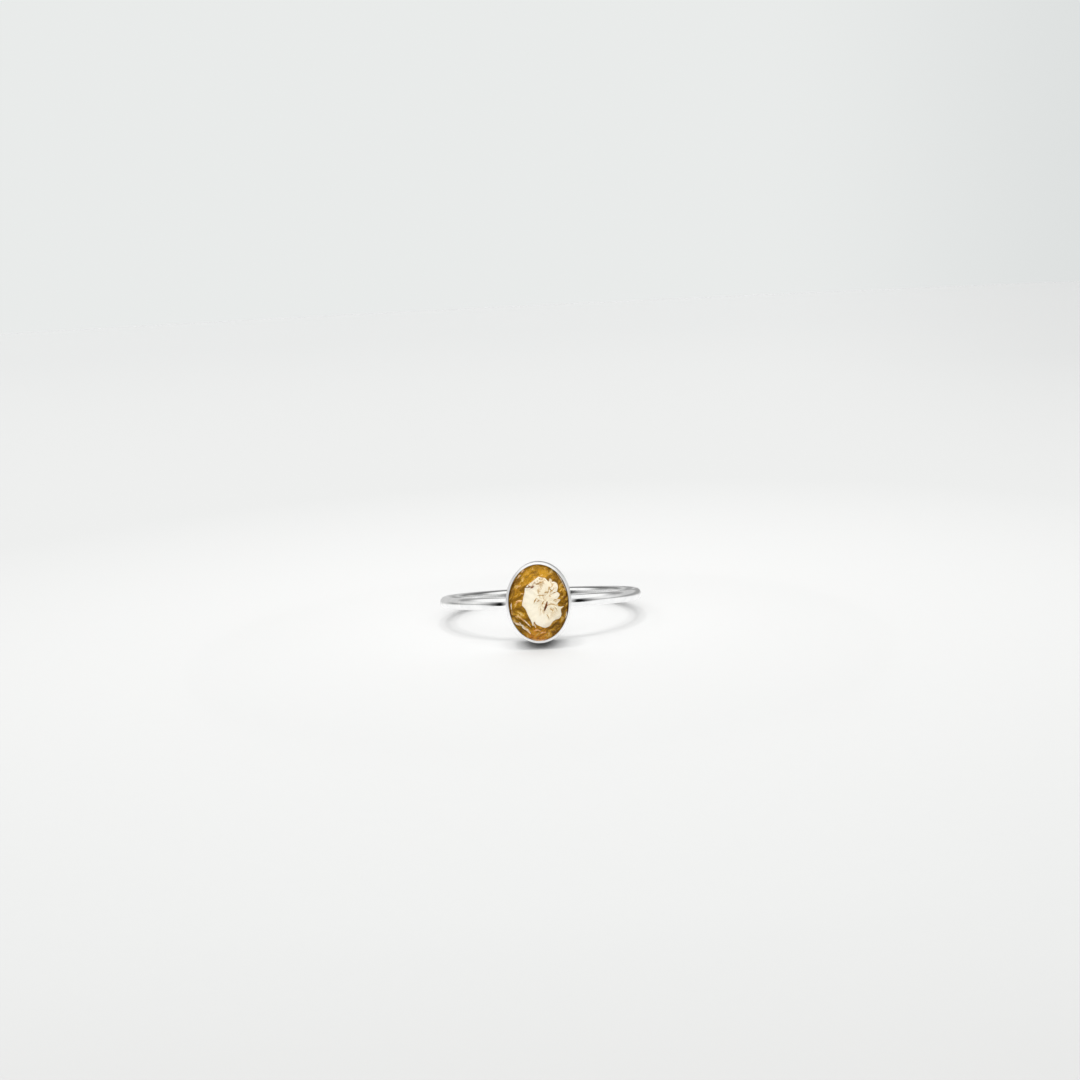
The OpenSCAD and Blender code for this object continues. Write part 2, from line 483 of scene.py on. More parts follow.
def silver_material(name, polish, satin=None, **values):
    """Silver whose polish comes from the shared group; satin gives the lip its softer sheen."""
    material, tree, output = new_material(name)
    values = {label.replace("_", " "): value for label, value in values.items()}
    finish = add_node(tree, "ShaderNodeGroup", values, node_tree=polish)
    bump = bumped(tree, finish["Height"], 0.12, 0.00001)
    rough = finish["Roughness"]
    colour = finish["Colour"]
    if satin:
        # Painted shade: a dark line along the lip's inner edge, down to where it meets the stone
        lip_shade = add_node(tree, "ShaderNodeAttribute", attribute_name="lip_shade")["Fac"]
        colour = blended(tree, ramped(tree, lip_shade, 0.0, 1.0, 0.0, 0.8), colour, (0.22, 0.17, 0.14, 1))
        # How far out along the stone's axis, in millimetres
        axis = IN_BEZEL.to_3x3() @ Vector((0, 0, 1)) / MM**2
        out = vectors(tree, "DOT_PRODUCT", own_place(tree), axis)
        start = axis.dot(LAID @ Vector((0, 0, 0)))
        burnished = ramped(tree, out, start + LEAN_LEVEL - 0.05, start + LEAN_LEVEL + 0.05, 0.0, satin)
        rough = more(tree, rough, burnished)
    tree.links.new(surfaced(tree, colour, rough, bump, Metallic=1.0), output[0])
    return material


def circle_of(tree, steps):
    """A circle of radius 1."""
    return add_node(tree, "GeometryNodeCurvePrimitiveCircle", {"Resolution": steps, "Radius": 1.0})


def drawn(tree, path, section, scale):
    """A section drawn along a path, as big as scale at each point, with closed ends."""
    values = {"Curve": path[0], "Profile Curve": section[0], "Scale": scale, "Fill Caps": True}
    return add_node(tree, "GeometryNodeCurveToMesh", values)


def displaced(tree, shape, offset):
    """A shape with its points moved."""
    return add_node(tree, "GeometryNodeSetPosition", {"Geometry": shape[0], "Offset": offset})


def finish_tree(tree, last, material, result):
    """Makes the result real, gives it its material and hands it out."""
    real = add_node(tree, "GeometryNodeRealizeInstances", {"Geometry": last[0]})
    values = {"Geometry": real[0], "Material": material}
    finished = add_node(tree, "GeometryNodeSetMaterial", values)
    tree.links.new(finished[0], result[0])


def band_wire_tree(material):
    """Geometry nodes for the band: a round wire along an arc, drawn up with solder at both ends."""
    into_bearing = 0.12
    inputs = (
        ("Band Radius", NUMBER, BAND_R),
        ("Wire Radius", NUMBER, WIRE_R),
        ("Start Turn", NUMBER, 0.0),
        ("Sweep", NUMBER, pi),
        ("Steps Along", COUNT, 900),
        ("Steps Round", COUNT, 72),
        ("Solder Radius", NUMBER, JOINT_R),
        ("Solder Run", NUMBER, JOINT_RUN),
        ("Sunk", NUMBER, 0.1),
        ("Finger Radius", NUMBER, FINGER_R),
        ("Strip Inside", NUMBER, HALF_W - STRIP_T - into_bearing),
        ("Unevenness", NUMBER, 0.006),
        ("Seed", COUNT, 4),
        ("Silver", MATERIAL, material),
    )
    tree, given, result = new_group("band_wire", "GeometryNodeTree", inputs, [("Geometry", SHAPE)])
    values = {
        "Resolution": given["Steps Along"],
        "Radius": given["Band Radius"],
        "Start Angle": given["Start Turn"],
        "Sweep Angle": given["Sweep"],
    }
    arc = add_node(tree, "GeometryNodeCurveArc", values, mode="RADIUS")
    along = add_node(tree, "GeometryNodeSplineParameter")["Length"]
    whole = add_node(tree, "GeometryNodeSplineLength")["Length"]
    to_end = maths(tree, "MINIMUM", along, less(tree, whole, along))
    share = maths(tree, "DIVIDE", to_end, more(tree, given["Sunk"], given["Solder Run"]))
    share = add_node(tree, "ShaderNodeClamp", {0: less(tree, 1.0, share)})[0]
    swell = less(tree, given["Solder Radius"], given["Wire Radius"])
    swell = times(tree, maths(tree, "POWER", share, 2.2), swell)
    radius = more(tree, given["Wire Radius"], swell)
    swept = drawn(tree, arc, circle_of(tree, given["Steps Round"]), radius)
    values = {"W": given["Seed"], "Scale": 0.7, "Detail": 1.0}
    spots = add_node(tree, "ShaderNodeTexNoise", values, noise_dimensions="4D")[0]
    off = times(tree, less(tree, spots, 0.5), given["Unevenness"])
    outward = add_node(tree, "GeometryNodeInputNormal")[0]
    moved = vectors(tree, "SCALE", outward, off)
    placed = displaced(tree, swept, moved)
    at = add_node(tree, "GeometryNodeInputPosition")[0]
    flat = vectors(tree, "MULTIPLY", at, (1, 1, 0))
    reach = vectors(tree, "LENGTH", flat)
    short = less(tree, maths(tree, "DIVIDE", given["Finger Radius"], reach), 1.0)
    short = maths(tree, "MAXIMUM", short, 0.0)
    pushed = vectors(tree, "SCALE", flat, short)
    cleared = displaced(tree, placed, pushed)
    # Neither end comes out inside the bezel
    at_x, at_y, _ = parts_of(tree, at)
    short = less(tree, given["Strip Inside"], maths(tree, "ABSOLUTE", at_x))
    short = times(tree, maths(tree, "MAXIMUM", short, 0.0), maths(tree, "LESS_THAN", at_y, 0.0))
    short = times(tree, short, maths(tree, "SIGN", at_x))
    cleared = displaced(tree, cleared, vector_of(tree, short, 0.0, 0.0))
    smooth = add_node(tree, "GeometryNodeSetShadeSmooth", {"Geometry": cleared[0]})
    finish_tree(tree, smooth, given["Silver"], result)
    return tree


def grown(name, tree, values, source=None):
    """Runs a geometry node tree with these inputs and returns its result as a plain mesh object."""
    seedling = bpy.data.objects.new(name, source or bpy.data.meshes.new(name))
    put_in_scene(seedling)
    growth = seedling.modifiers.new("growth", "NODES")
    growth.node_group = tree
    for item in tree.interface.items_tree:
        if item.in_out == "INPUT" and item.name in values:
            growth[item.identifier] = values[item.name]
    graph = bpy.context.evaluated_depsgraph_get()
    data = bpy.data.meshes.new_from_object(
        seedling.evaluated_get(graph), preserve_all_data_layers=True, depsgraph=graph
    )
    seedling.modifiers.clear()
    bpy.data.objects.remove(seedling)
    made = bpy.data.objects.new(name, data)
    data.name = name
    put_in_scene(made)
    return made


def make_band(material):
    """The wire band with its two solder joints, from one side of the bezel round to the other."""
    joint_turn = asin(HALF_W / BAND_R)
    sunk = STRIP_T / 2 + JOINT_R * tan(joint_turn)
    end_turn = joint_turn - sunk / BAND_R
    band = grown(
        "band",
        band_wire_tree(material),
        {"Start Turn": end_turn - pi / 2, "Sweep": tau - 2 * end_turn, "Sunk": sunk},
    )
    band.data.transform(LAID)
    mesh = bmesh.new()
    mesh.from_mesh(band.data)
    bmesh.ops.recalc_face_normals(mesh, faces=mesh.faces)
    mesh.to_mesh(band.data)
    mesh.free()
    return band


def bezel_profile(turn):
    """Points (half width, half height, level) from the foot, over the lip, and back down inside.

    Painted shade darkens the lip's inner edge, down to where it meets the stone, most at the sides and top
    right. Its share is given with each point.
    """
    side = abs(cos(turn)) ** 1.5 * (0.75 + 0.5 * ripple(turn, 9.0, 5.0))
    side = min(1.0, side + 0.5 * max(0.0, cos(turn - 0.6)) ** 6)
    waver = 0.014 * ripple(turn, 1.0, 2.2) + 0.005 * ripple(turn, 5.0, 7.0)
    dip = 0.012 * ripple(turn, 2.0, 2.6)
    foot_round, corner = 0.05, 0.015

    def inward(depth, level):
        return HALF_W - depth, HALF_H - depth, level

    def foot(half_width):
        return sqrt(FINGER_R**2 - (half_width * cos(turn)) ** 2)

    points = []
    wall = 14
    wall_foot = foot(HALF_W) + foot_round
    for k in range(wall + 1):
        points.append(inward(0, wall_foot + (LEAN_LEVEL - wall_foot) * k / wall))
    # The lip leans in over the stone in a slope that bulges a little
    lip_w, lip_h = LIP_W + waver, LIP_H + waver
    edge_round = 0.03
    crest_level = LIP_CREST + dip
    lean, bulge = 12, 0.022
    swell_out, swell_up = 0.87, 0.5
    for k in range(1, lean + 1):
        share = k / lean
        swell = bulge * sin(pi * share)
        points.append((
            HALF_W + (lip_w + edge_round - HALF_W) * share + swell_out * swell,
            HALF_H + (lip_h + edge_round - HALF_H) * share + swell_out * swell,
            LEAN_LEVEL + (crest_level - LEAN_LEVEL) * share + swell_up * swell,
        ))
    bends = 5
    for k in range(1, bends + 1):
        bend = pi / 2 * k / bends
        slip = edge_round * (1 - sin(bend))
        points.append((lip_w + slip, lip_h + slip, crest_level - edge_round * (1 - cos(bend))))
    narrow = (HALF_H - STRIP_T) / (HALF_W - STRIP_T)
    hollow = HALF_W - STRIP_T - BEARING_T
    points += [
        (lip_w, lip_h, LIP_LOW + 0.02),
        (lip_w + 0.012, lip_h + 0.008, LIP_LOW),
        inward(STRIP_T + 0.012, GIRDLE_TOP + 0.02),
        inward(STRIP_T, GIRDLE_TOP - 0.02),
        inward(STRIP_T, BEARING_TOP + 0.01),
        inward(STRIP_T + 0.01, BEARING_TOP),
        (hollow + corner, (hollow + corner) * narrow, BEARING_LOW + 0.01),
        (hollow, hollow * narrow, BEARING_LOW - 0.02),
    ]
    back = 8
    for k in range(1, back + 1):
        level = BEARING_LOW - (BEARING_LOW - foot(hollow) - foot_round) * k / back
        points.append((hollow, hollow * narrow, level))
    points += [
        (hollow + corner, hollow * narrow + corner, foot(hollow) + corner),
        (hollow + foot_round, hollow * narrow + foot_round, foot(hollow + foot_round)),
        inward(foot_round, foot(HALF_W - foot_round)),
        inward(corner, foot(HALF_W - corner) + corner),
    ]
    edge_at = wall + lean
    return [
        (*point, side * min(1.0, max(0.0, (k - edge_at + 2) / 2)) if k < edge_at + 7 else 0.0)
        for k, point in enumerate(points)
    ]


def make_bezel(material):
    """The bezel cup: strip, burnished lip, bearing and saddle-filed foot in one closed wall."""
    steps = 320
    mesh = bmesh.new()
    # The lip's painted shade, as its share at each point
    lip_shade = mesh.verts.layers.float.new("lip_shade")
    loops = []
    for k in range(steps):
        turn = tau * k / steps
        loops.append([])
        for half_width, half_height, level, dark in bezel_profile(turn):
            vert = mesh.verts.new((half_width * cos(turn), half_height * sin(turn), level))
            vert[lip_shade] = dark
            loops[-1].append(vert)
    for k, after in neighbours(steps):
        here, there = loops[k], loops[after]
        for j, beyond in neighbours(len(here)):
            mesh.faces.new((here[j], there[j], there[beyond], here[beyond]))
    return finish_mesh("bezel", mesh, material, smooth=True, place=IN_BEZEL, recalculate=True)


def stone_point(turn, reach, level):
    return Vector((STONE_W * reach * cos(turn), STONE_H * reach * sin(turn), level))


def stone_facets():
    """Planes of the oval brilliant, each as three points on it."""
    mains = 8
    step = tau / mains
    half = step / 2
    spread = half / 2
    touch = 1 / cos(spread)
    crown_h, pavilion_h = TABLE_LEVEL - GIRDLE_TOP, GIRDLE_LOW - POINT_LEVEL
    table_edge = TABLE_SHARE * cos(half)
    star_reach = table_edge + STAR_SHARE * (1 - table_edge)

    def crown_between(turn, reach):
        rise = crown_h * (1 - reach * cos(half)) / (1 - TABLE_SHARE)
        return stone_point(turn, reach, GIRDLE_TOP + rise)

    def pavilion_between(turn, reach):
        return stone_point(turn, reach, GIRDLE_LOW - pavilion_h * (1 - reach * cos(half)))

    planes = []
    for k in range(mains):
        turn = k * step
        star = crown_between(turn + half, star_reach)
        lower = pavilion_between(turn + half, 1 - LOWER_SHARE)
        for reach, level, girdle in ((TABLE_SHARE, TABLE_LEVEL, GIRDLE_TOP), (0, POINT_LEVEL, GIRDLE_LOW)):
            planes.append((
                stone_point(turn, reach, level),
                stone_point(turn - spread, touch, girdle),
                stone_point(turn + spread, touch, girdle),
            ))
        planes.append((
            stone_point(turn, TABLE_SHARE, TABLE_LEVEL),
            stone_point(turn + step, TABLE_SHARE, TABLE_LEVEL),
            star,
        ))
        for peak, girdle in ((star, GIRDLE_TOP), (lower, GIRDLE_LOW)):
            middle = stone_point(turn + half, 1, girdle)
            for side in (-1, 1):
                planes.append((peak, stone_point(turn + half + side * half, 1, girdle), middle))
    return planes


def facet_planes():
    """Each facet plane as a point on it and the way it faces."""
    heart = Vector((0, 0, GIRDLE_LOW))
    planes = []
    for p, q, r in stone_facets():
        outward = (q - p).cross(r - p).normalized()
        if outward.dot(p - heart) < 0:
            outward.negate()
        planes.append((p, outward))
    return planes


FACETS = facet_planes()


def crown_level(x, y):
    """Level of the stone's top surface over a point of its face."""
    return min(
        [TABLE_LEVEL] + [p.z - ((x - p.x) * n.x + (y - p.y) * n.y) / n.z for p, n in FACETS if n.z > 0]
    )


def pavilion_level(x, y):
    """Level of the stone's underside below a point of its face."""
    return max(
        [CULET_LEVEL] + [p.z - ((x - p.x) * n.x + (y - p.y) * n.y) / n.z for p, n in FACETS if n.z < 0]
    )


def make_citrine(material):
    """The oval brilliant, cut facet by facet from an oval blank."""
    sides = 144
    mesh = bmesh.new()
    low = [mesh.verts.new(stone_point(tau * k / sides, 1, CULET_LEVEL)) for k in range(sides)]
    high = [mesh.verts.new(stone_point(tau * k / sides, 1, TABLE_LEVEL)) for k in range(sides)]
    mesh.faces.new(low[::-1])
    mesh.faces.new(high)
    for k, after in neighbours(sides):
        mesh.faces.new((low[k], low[after], high[after], high[k]))
    for p, outward in FACETS:
        whole = mesh.verts[:] + mesh.edges[:] + mesh.faces[:]
        cut = bmesh.ops.bisect_plane(
            mesh, geom=whole, plane_co=p, plane_no=outward, clear_outer=True, dist=1e-5
        )
        edges = [e for e in cut["geom_cut"] if isinstance(e, bmesh.types.BMEdge) and e.is_boundary]
        if edges:
            bmesh.ops.edgeloop_fill(mesh, edges=edges)
    bmesh.ops.remove_doubles(mesh, verts=mesh.verts, dist=1e-4)
    bmesh.ops.recalc_face_normals(mesh, faces=mesh.faces)
    return finish_mesh("citrine_stone", mesh, material, place=IN_BEZEL)


def citrine_material():
    """Clear golden quartz: it absorbs blue, so that it is deeper where light goes further through it."""
    material, tree, output = new_material("citrine_quartz")
    place = own_place(tree)
    cloud = grained(tree, place, 700.0, 4.0)
    tint = blended(tree, ramped(tree, cloud, 0.35, 0.7), (1.0, 0.99, 0.97, 1), (0.99, 0.97, 0.93, 1))
    wear = grained(tree, place, 2400.0, 3.0)
    bump = bumped(tree, wear, 0.04, 0.00002)
    rough = ramped(tree, wear, 0.3, 0.8, 0.0, 0.05)
    glint = (0.25, 0.2, 0.12, 1)
    quartz = surfaced(tree, tint, rough, bump, Transmission_Weight=1.0, IOR=1.55, Specular_Tint=glint)
    # Lamps shine straight through, a little tinted, on to what lies inside the stone
    through = add_node(tree, "ShaderNodeBsdfTransparent", {"Color": (0.97, 0.95, 0.90, 1)})
    lamp_ray = add_node(tree, "ShaderNodeLightPath")["Is Shadow Ray"]
    shaders = {0: lamp_ray, 1: quartz, 2: through[0]}
    surface = add_node(tree, "ShaderNodeMixShader", shaders)
    depth = add_node(tree, "ShaderNodeVolumeAbsorption", {"Color": (0.85, 0.68, 0.22, 1), "Density": 320.0})
    tree.links.new(surface[0], output["Surface"])
    tree.links.new(depth[0], output["Volume"])
    return material


def face_map(mesh):
    """Keeps each point's place on the stone's face, in millimetres, for the materials inside it."""
    layer = mesh.loops.layers.uv.new("face")
    for face in mesh.faces:
        for loop in face.loops:
            loop[layer].uv = loop.vert.co.xy


CLOUD_RIM = 0.985


def cloud_depth(x, y):
    """How deep the cloud begins under the stone's top surface: less and less towards the rim."""
    grain = noise.fractal(Vector((1.6 * x + 0.8 * y, 3.2 * y - 1.6 * x, 3.0)), 0.7, 2.2, 5)
    clear_skin, deeper, rim_share = 0.03, 0.2, 0.2
    share = (CLOUD_RIM - hypot(x / STONE_W, y / STONE_H)) / rim_share
    return clear_skin + min(1.0, max(0.0, share)) * (deeper + 0.07 * grain)


def make_cloud(material):
    """The clouded quartz that fills the stone below its clear skin."""
    steps, rings = 240, 60
    mesh = bmesh.new()

    def lay(level_of):
        middle = mesh.verts.new((0, 0, level_of(0, 0)))
        loops = []
        for j in range(1, rings + 1):
            reach = CLOUD_RIM * j / rings
            loop = []
            for k in range(steps):
                turn = tau * k / steps
                x, y = STONE_W * reach * cos(turn), STONE_H * reach * sin(turn)
                loop.append(mesh.verts.new((x, y, level_of(x, y))))
            loops.append(loop)
        for k, after in neighbours(steps):
            mesh.faces.new((middle, loops[0][k], loops[0][after]))
            for inner, outer in zip(loops, loops[1:]):
                mesh.faces.new((inner[k], outer[k], outer[after], inner[after]))
        return loops[-1]

    front = lay(lambda x, y: crown_level(x, y) - cloud_depth(x, y))
    off_pavilion = 0.05
    back = lay(lambda x, y: pavilion_level(x, y) + off_pavilion)
    for k, after in neighbours(steps):
        mesh.faces.new((front[k], front[after], back[after], back[k]))
    face_map(mesh)
    return finish_mesh("clouded_quartz", mesh, material, smooth=True, place=IN_BEZEL, recalculate=True)


def spot(tree, place, centre, size, turn=0.0, soft=0.5):
    """1 inside an oval spot of the face, falling softly to 0 outside it."""
    shifted = vectors(tree, "ADD", place, (-centre[0], -centre[1], 0))
    turned = mapped(tree, shifted, (0, 0, -turn), (1, 1, 0))
    sized = vectors(tree, "MULTIPLY", turned, (1 / size[0], 1 / size[1], 0))
    away = vectors(tree, "LENGTH", sized)
    return ramped(tree, away, 1 - soft, 1 + soft, 1.0, 0.0)


AMBER = (0.39, 0.196, 0.012, 1)
GOLD = (0.58, 0.315, 0.02, 1)
STRAW = (0.80, 0.62, 0.26, 1)
ROSE = (0.62, 0.36, 0.11, 1)
OLIVE = (0.31, 0.165, 0.012, 1)
BROWN = (0.115, 0.055, 0.006, 1)
FLARE_ORANGE = (0.80, 0.37, 0.035, 1)
FLARE_RED = (0.70, 0.26, 0.03, 1)
CREAM = (0.96, 0.945, 0.88, 1)
IVORY = (0.95, 0.91, 0.80, 1)


def cloud_material():
    """Amber cloud, mottled and streaked aslant, browner towards its right side, with a painted orange flare
    at the foot.
    """
    material, tree, output = new_material("amber_cloud")
    place = add_node(tree, "ShaderNodeUVMap", uv_map="face")[0]
    blur = vectors(tree, "SCALE", wandering(tree, place, 1.1), 0.9)
    bent = vectors(tree, "ADD", place, blur)
    shade = painted(
        tree,
        AMBER,
        (spot(tree, bent, (-0.2, 3.0), (1.9, 1.0)), GOLD),
        (spot(tree, bent, (-1.6, -1.3), (0.8, 0.9)), OLIVE),
        (times(tree, spot(tree, bent, (2.45, 0.3), (0.75, 2.2), 0.1), 0.45), BROWN),
        (times(tree, spot(tree, bent, (1.5, -2.4), (0.8, 0.7), 0.5), 0.4), BROWN),
        # Painted flare: orange and red light along the stone's foot
        (spot(tree, bent, (-0.1, -2.75), (0.95, 0.55)), FLARE_ORANGE),
        (spot(tree, bent, (-0.5, -3.2), (1.3, 0.35)), FLARE_RED),
    )
    strokes = []
    for lean in (0.65, -0.8):
        aslant = mapped(tree, bent, (0, 0, lean), (0.85, 0.30, 1.0), "TEXTURE")
        strokes.append(grained(tree, aslant, 0.95, 6.0, 0.62))
    streaks = mixed(tree, spot(tree, bent, (-1.7, -1.9), (1.2, 1.4), 0.0, 0.3), *strokes)
    flecks = grained(tree, own_place(tree), 5200.0, 3.0, 0.7)
    shade = painted(
        tree,
        shade,
        (ramped(tree, streaks, 0.50, 0.42, 0.0, 0.6), BROWN),
        (ramped(tree, streaks, 0.49, 0.56, 0.0, 0.9), GOLD),
        (ramped(tree, streaks, 0.56, 0.65, 0.0, 0.9), STRAW),
        (ramped(tree, flecks, 0.58, 0.68, 0.0, 0.5), ROSE),
        (ramped(tree, flecks, 0.42, 0.34, 0.0, 0.5), BROWN),
    )
    bump = bumped(tree, flecks, 0.3, 0.00004)
    rough = ramped(tree, streaks, 0.3, 0.7, 0.45, 0.7)
    tree.links.new(surfaced(tree, shade, rough, bump, Specular_IOR_Level=0.08), output[0])
    return material


# The veil's outline on the stone's face, anticlockwise from its left top corner,
# in hundredths of a millimetre
VEIL_OUTLINE = (
    (-114, 137), (-119, 98), (-133, 51), (-145, 1), (-146, -17), (-123, -42),
    (-112, -64), (-102, -94), (-85, -130), (-69, -166), (-60, -198), (-52, -200),
    (-50, -170), (-38, -164), (-34, -184), (-17, -197), (3, -205), (26, -217),
    (50, -223), (74, -216), (96, -203), (106, -182), (119, -168), (143, -154),
    (173, -147), (192, -130), (196, -102), (192, -79), (194, -62), (206, -52),
    (219, -40), (190, -43), (172, -36), (166, -16), (176, 0), (190, 14),
    (190, 25), (162, 27), (174, 38), (184, 53), (188, 70), (177, 84),
    (162, 90), (170, 102), (176, 125), (174, 149), (165, 167), (144, 180),
    (128, 178), (124, 197), (114, 208), (104, 208), (97, 180), (86, 194),
    (77, 205), (67, 217), (43, 222), (24, 225), (10, 232), (-8, 218),
    (-49, 187), (-79, 168), (-105, 150), (-98, 142),
)
# Where the veil's ridges and veins spread from
FAN_X, FAN_Y = 0.35, -0.1


def veil_level(x, y):
    """The veil lies close under the table and crown, in fine ridges that spread from its middle."""
    ridges, under_face = 15, 0.15
    turn = atan2(y - FAN_Y, x - FAN_X)
    out = hypot(x - FAN_X, y - FAN_Y)
    fan = sin(ridges * turn + 2.5 * noise.noise(Vector((x, y, 7.0)))) * min(1.0, out)
    grain = noise.fractal(Vector((2.6 * x, 2.6 * y, 9.0)), 0.7, 2.2, 3)
    return crown_level(x, y) - under_face + 0.011 * fan + 0.02 * grain


def make_veil(material):
    """A thin sheet of milky quartz with a broken edge, the stone's largest inclusion."""
    fine = 0.05
    thickness = 0.035
    edge = []
    corners = [Vector((x / 100, y / 100)) for x, y in VEIL_OUTLINE]
    for a, b in zip(corners, corners[1:] + corners[:1]):
        parts = max(1, round((b - a).length / fine))
        for j in range(parts):
            at = a.lerp(b, j / parts)
            nudge = 0.012 * noise.noise(Vector((9 * at.x, 9 * at.y, 1.0)))
            edge.append(at + nudge * Vector((b.y - a.y, a.x - b.x)).normalized())
    points = list(edge)
    grid = 0.085
    rows = int(5.0 / grid)
    for i in range(-rows, rows):
        for j in range(-rows, rows):
            across = noise.noise(Vector((3.1 * i, 2.3 * j, 0.5)))
            along = noise.noise(Vector((2.7 * i, 3.7 * j, 4.5)))
            at = Vector((grid * (i + 0.5 * (j % 2)), grid * j)) + 0.3 * grid * Vector((across, along))
            if inside_outline(at, edge) and min((at - e).length for e in edge) > 0.5 * grid:
                points.append(at)
    flat, _, triangles, _, _, _ = delaunay_2d_cdt(points, neighbours(len(edge)), [], 1, 1e-6)
    mesh = bmesh.new()
    sheets = []
    for drop, order in ((0.0, 1), (thickness, -1)):
        sheet = [mesh.verts.new((v.x, v.y, veil_level(v.x, v.y) - drop)) for v in flat]
        for triangle in triangles:
            mesh.faces.new([sheet[n] for n in triangle][::order])
        sheets.append(sheet)
    top, low = sheets
    index = {vert: n for n, vert in enumerate(top)}
    for side in [e for e in mesh.edges if e.is_boundary and e.verts[0] in index]:
        a, b = (index[v] for v in side.verts)
        mesh.faces.new((top[a], top[b], low[b], low[a]))
    face_map(mesh)
    return finish_mesh("cream_veil", mesh, material, place=IN_BEZEL, recalculate=True)


def inside_outline(at, edge):
    """Whether a point lies inside a closed outline."""
    inside = False
    last = edge[-1]
    for here in edge:
        if (here.y > at.y) != (last.y > at.y):
            if at.x < here.x + (last.x - here.x) * (at.y - here.y) / (last.y - here.y):
                inside = not inside
        last = here
    return inside


def veil_material():
    """Cream quartz with golden veins and a few specks near its top."""
    material, tree, output = new_material("cream_quartz")
    place = add_node(tree, "ShaderNodeUVMap", uv_map="face")[0]
    bent = vectors(tree, "ADD", place, wandering(tree, place, 1.6))
    shade = painted(
        tree,
        IVORY,
        (spot(tree, bent, (-0.6, 0.3), (0.7, 1.5), 0.1), CREAM),
        (spot(tree, bent, (0.1, -1.5), (0.7, 0.7)), CREAM),
        (spot(tree, bent, (1.5, 1.2), (0.35, 0.7)), CREAM),
    )
    fan = vectors(tree, "ADD", bent, (-FAN_X, -FAN_Y, 0))
    radial = add_node(tree, "ShaderNodeTexGradient", {"Vector": fan}, gradient_type="RADIAL")[1]
    out = vectors(tree, "LENGTH", fan)
    swirl = vector_of(tree, times(tree, radial, 26.0), out, 0.0)
    veins = grained(tree, swirl, 1.0, 4.0, 0.6)
    veins = times(tree, ramped(tree, veins, 0.50, 0.60), spot(tree, bent, (0.8, 0.5), (1.0, 1.6), 0.0, 0.4))
    shade = blended(tree, times(tree, veins, 0.8), shade, (0.50, 0.29, 0.05, 1))
    specks = grained(tree, place, 5.5, 3.0, 0.65)
    band = spot(tree, bent, (-0.05, 1.85), (0.95, 0.3), 0.45)
    shade = blended(tree, times(tree, ramped(tree, specks, 0.50, 0.60), band), shade, AMBER)
    bump = bumped(tree, specks, 0.3, 0.00003)
    rough = ramped(tree, specks, 0.3, 0.7, 0.4, 0.65)
    tree.links.new(surfaced(tree, shade, rough, bump, Specular_IOR_Level=0.2), output[0])
    return material


def inclusion_and_painted_light_tree():
    """Geometry nodes for the inclusions and the painted glints and shade: a flattened, slightly uneven blade
    along each given line.
    """
    inputs = (
        ("Geometry", SHAPE),
        ("Flatness", NUMBER, 0.3),
        ("Steps Round", COUNT, 10),
        ("Step", NUMBER, 0.03),
        ("Unevenness", NUMBER, 0.05),
        ("Seed", COUNT, 2),
        ("Quartz", MATERIAL),
    )
    tree, given, result = new_group("inclusions_and_painted_light", "GeometryNodeTree", inputs, [("Geometry", SHAPE)])
    values = {"Curve": given["Geometry"], "Length": given["Step"]}
    lines = add_node(tree, "GeometryNodeResampleCurve", values, mode="LENGTH")
    upright = add_node(tree, "GeometryNodeSetCurveNormal", {"Curve": lines[0]}, mode="Z_UP")
    squash = vector_of(tree, 1.0, given["Flatness"], 1.0)
    values = {"Geometry": circle_of(tree, given["Steps Round"])[0], "Scale": squash}
    oval = add_node(tree, "GeometryNodeTransform", values)
    width = add_node(tree, "GeometryNodeInputRadius")[0]
    swept = drawn(tree, upright, oval, width)
    values = {"W": given["Seed"], "Scale": 9.0, "Detail": 2.0}
    grain = add_node(tree, "ShaderNodeTexNoise", values, noise_dimensions="4D")["Color"]
    off = vectors(tree, "SCALE", vectors(tree, "SUBTRACT", grain, (0.5, 0.5, 0.5)), given["Unevenness"])
    moved = displaced(tree, swept, off)
    finish_tree(tree, moved, given["Quartz"], result)
    return tree


def make_inclusions_and_painted_light(name, tree, material, depth, slenderness, lines):
    """Blades at some depth under the stone's surface, each from its width and its points on the face."""
    curve = bpy.data.curves.new(name, "CURVE")
    curve.dimensions = "3D"
    tip = 0.08
    for width, points in lines:
        spline = curve.splines.new("POLY")
        path = eased([(x / 100, y / 100) for x, y in points], 6)
        spline.points.add(len(path) - 1)
        for k, (x, y) in enumerate(path):
            share = k / (len(path) - 1)
            spline.points[k].co = (x, y, crown_level(x, y) - min(depth, 0.6 * cloud_depth(x, y)), 1)
            spline.points[k].radius = width / 100 / 2 * (tip + (1 - tip) * sin(pi * share) ** slenderness)
    inclusions_and_painted_light = grown(name, tree, {"Quartz": material}, curve)
    inclusions_and_painted_light.data.transform(IN_BEZEL)
    return inclusions_and_painted_light


def eased(points, parts):
    """A smooth line through the points, with this many parts between each two."""
    path = []
    for k in range(len(points) - 1):
        p0, p1, p2, p3 = (Vector(points[min(max(n, 0), len(points) - 1)]) for n in (k - 1, k, k + 1, k + 2))
        for j in range(parts):
            t = j / parts
            square, cube = 2 * p0 - 5 * p1 + 4 * p2 - p3, 3 * p1 - p0 - 3 * p2 + p3
            path.append(tuple(0.5 * (2 * p1 + (p2 - p0) * t + square * t**2 + cube * t**3)))
    path.append(tuple(points[-1]))
    return path


def inclusion_and_painted_light_material(name, pale, deep):
    """A colour that wanders between two tints, for mineral inclusions and for the painted glints and shade.
    """
    material, tree, output = new_material(name)
    solid = own_place(tree)
    grain = grained(tree, solid, 4200.0, 3.0, 0.6)
    bump = bumped(tree, grain, 0.3, 0.00002)
    tint = blended(tree, ramped(tree, grain, 0.4, 0.62), pale, deep)
    rough = ramped(tree, grain, 0.3, 0.7, 0.35, 0.6)
    tree.links.new(surfaced(tree, tint, rough, bump, Specular_IOR_Level=0.2), output[0])
    return material
